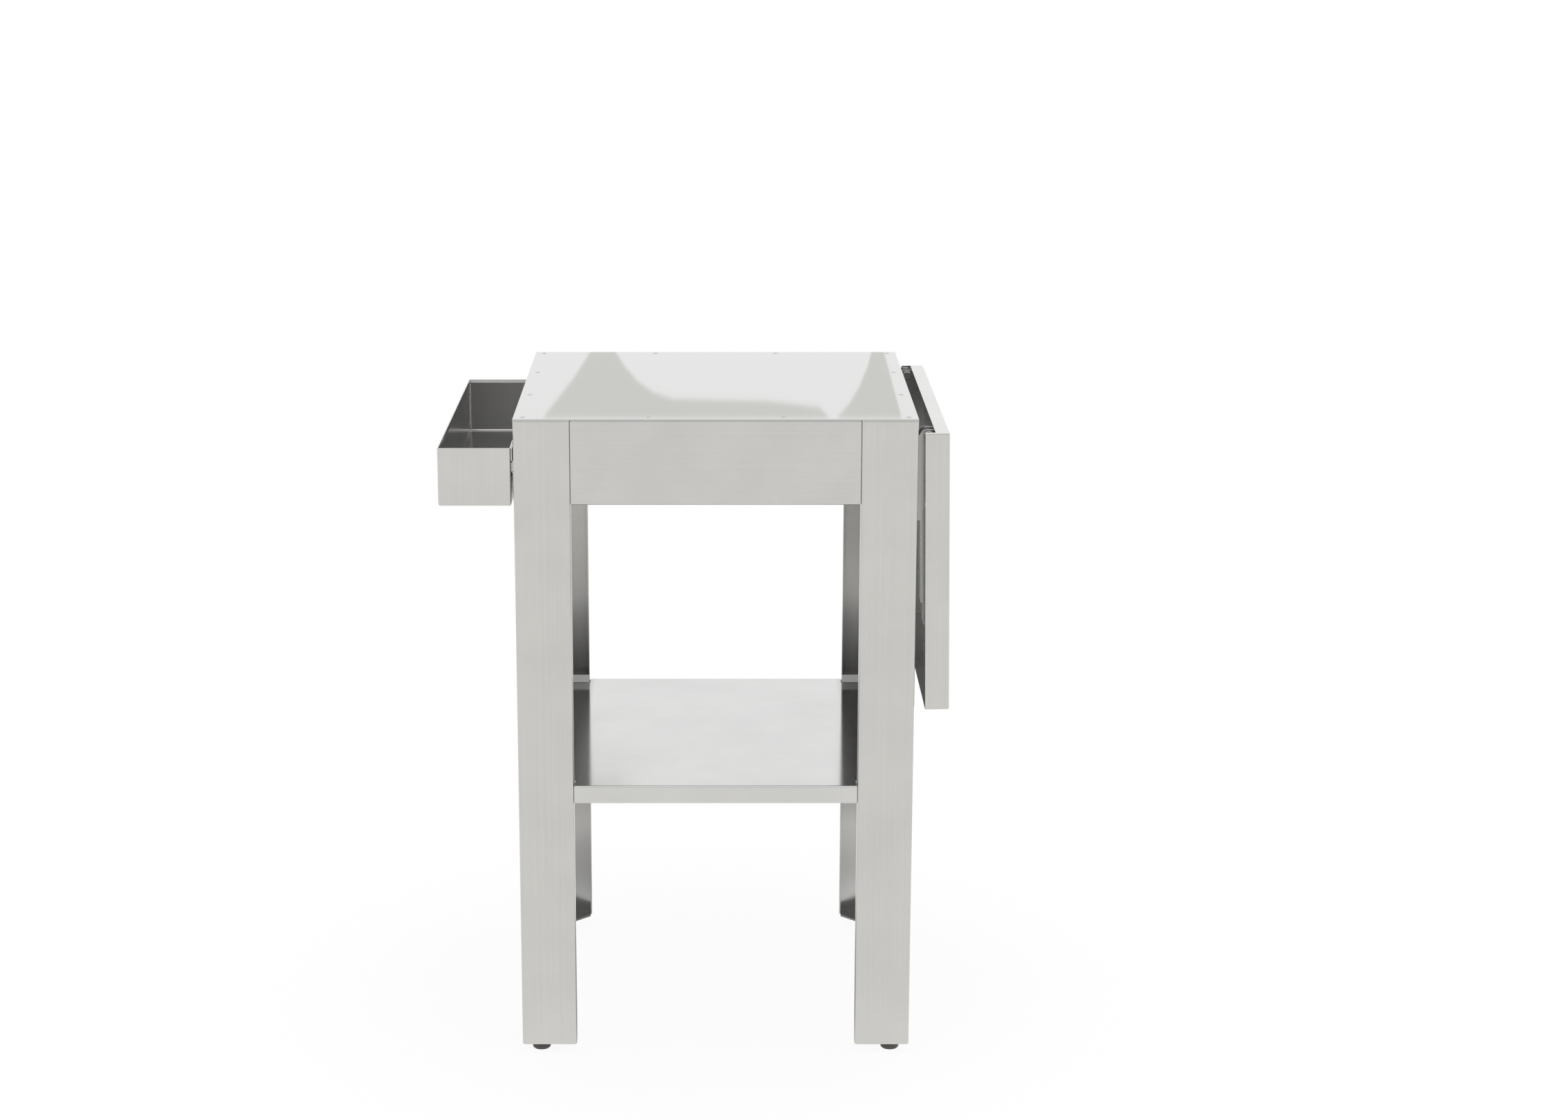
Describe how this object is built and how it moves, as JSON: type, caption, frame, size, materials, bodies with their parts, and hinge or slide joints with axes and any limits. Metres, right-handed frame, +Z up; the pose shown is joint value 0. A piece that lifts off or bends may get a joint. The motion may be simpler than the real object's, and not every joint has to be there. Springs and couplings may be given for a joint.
{
  "type": "grill stand",
  "caption": "Square stainless steel stand for a portable grill, with a low shelf, a hanging utensil tray on one side and a drop leaf on folding brackets on the other.",
  "frame": {"origin": "on the floor, in the middle of the whole footprint with the tray hung and the leaf down", "axes": "+Z up, -Y to the front, +X to the leaf side and -X to the tray side"},
  "size_m": [0.6973, 0.546, 0.914],
  "materials": {
    "stainless_sheet": "brushed stainless sheet",
    "bracket_steel": "bright zinc-plated pressed steel",
    "fastener_steel": "turned stainless steel",
    "glide_plastic": "moulded dark nylon"
  },
  "bodies": {
    "frame": {"top_plate": "stainless_sheet", "top_screws": "fastener_steel", "top_screw_nuts": "fastener_steel", "apron_front": "stainless_sheet", "apron_back": "stainless_sheet", "apron_left": "stainless_sheet", "apron_right": "stainless_sheet", "leg_front_left": "stainless_sheet", "leg_front_right": "stainless_sheet", "leg_back_left": "stainless_sheet", "leg_back_right": "stainless_sheet", "leg_cap_plates": "stainless_sheet", "foot_plates": "stainless_sheet", "foot_bushes": "fastener_steel", "apron_bolts": "fastener_steel", "apron_nuts": "fastener_steel", "shelf": "stainless_sheet", "shelf_bolts": "fastener_steel", "shelf_nuts": "fastener_steel", "hanger_clips": "stainless_sheet", "hanger_rivets": "fastener_steel", "hinge_pins": "fastener_steel", "hinge_spacers": "fastener_steel", "wall_arm_front": "bracket_steel", "wall_arm_rear": "bracket_steel", "wall_arm_screws": "fastener_steel", "wall_arm_nuts": "fastener_steel", "strut_rivets": "fastener_steel"},
    "leaf": {"leaf_pan": "stainless_sheet", "leaf_arm_front": "bracket_steel", "leaf_arm_rear": "bracket_steel", "leaf_studs": "fastener_steel", "leaf_stud_nuts": "fastener_steel"},
    "strut_front": {"strut_front": "bracket_steel", "strut_end_rivets_front": "fastener_steel"},
    "strut_rear": {"strut_rear": "bracket_steel", "strut_end_rivets_rear": "fastener_steel"},
    "slider_front": {"slider_front": "fastener_steel"},
    "slider_rear": {"slider_rear": "fastener_steel"},
    "tray": {"tray_pan": "stainless_sheet", "tray_hook_clips": "stainless_sheet"},
    "leveller_front_left": {"foot_pad_front_left": "glide_plastic", "foot_stud_front_left": "fastener_steel"},
    "leveller_front_right": {"foot_pad_front_right": "glide_plastic", "foot_stud_front_right": "fastener_steel"},
    "leveller_back_left": {"foot_pad_back_left": "glide_plastic", "foot_stud_back_left": "fastener_steel"},
    "leveller_back_right": {"foot_pad_back_right": "glide_plastic", "foot_stud_back_right": "fastener_steel"}
  },
  "joints": [
    {"name": "leaf_fold", "type": "hinge", "parent": "frame", "child": "leaf", "pos_m": [0.31532, 0, 0.8865], "axis": [0, -1, 0], "range_deg": [0, 89.1]},
    {"name": "strut_swing_front", "type": "hinge", "parent": "frame", "child": "strut_front", "pos_m": [0.31532, -0.23475, 0.7915], "axis": [0, -1, 0], "range_deg": [0, 127.52]},
    {"name": "slider_run_front", "type": "slide", "parent": "leaf", "child": "slider_front", "axis": [0.0157, 0, -0.9999], "range_m": [-0.12861, 0]},
    {"name": "strut_swing_rear", "type": "hinge", "parent": "frame", "child": "strut_rear", "pos_m": [0.31532, 0.23475, 0.7915], "axis": [0, -1, 0], "range_deg": [0, 127.52]},
    {"name": "slider_run_rear", "type": "slide", "parent": "leaf", "child": "slider_rear", "axis": [0.0157, 0, -0.9999], "range_m": [-0.12861, 0]},
    {"name": "tray_lift", "type": "slide", "parent": "frame", "child": "tray", "axis": [0, 0, 1], "range_m": [0, 0.1]},
    {"name": "foot_drop_front_left", "type": "slide", "parent": "frame", "child": "leveller_front_left", "axis": [0, 0, -1], "range_m": [0, 0.012]},
    {"name": "foot_drop_front_right", "type": "slide", "parent": "frame", "child": "leveller_front_right", "axis": [0, 0, -1], "range_m": [0, 0.012]},
    {"name": "foot_drop_back_left", "type": "slide", "parent": "frame", "child": "leveller_back_left", "axis": [0, 0, -1], "range_m": [0, 0.012]},
    {"name": "foot_drop_back_right", "type": "slide", "parent": "frame", "child": "leveller_back_right", "axis": [0, 0, -1], "range_m": [0, 0.012]}
  ],
  "couplings": [
    {"joint": "strut_swing_front", "follows": "leaf_fold", "ratio": 1.4312},
    {"joint": "slider_run_front", "follows": "leaf_fold", "m_per_rad": -0.082703},
    {"joint": "strut_swing_rear", "follows": "leaf_fold", "ratio": 1.4312},
    {"joint": "slider_run_rear", "follows": "leaf_fold", "m_per_rad": -0.082703}
  ]
}
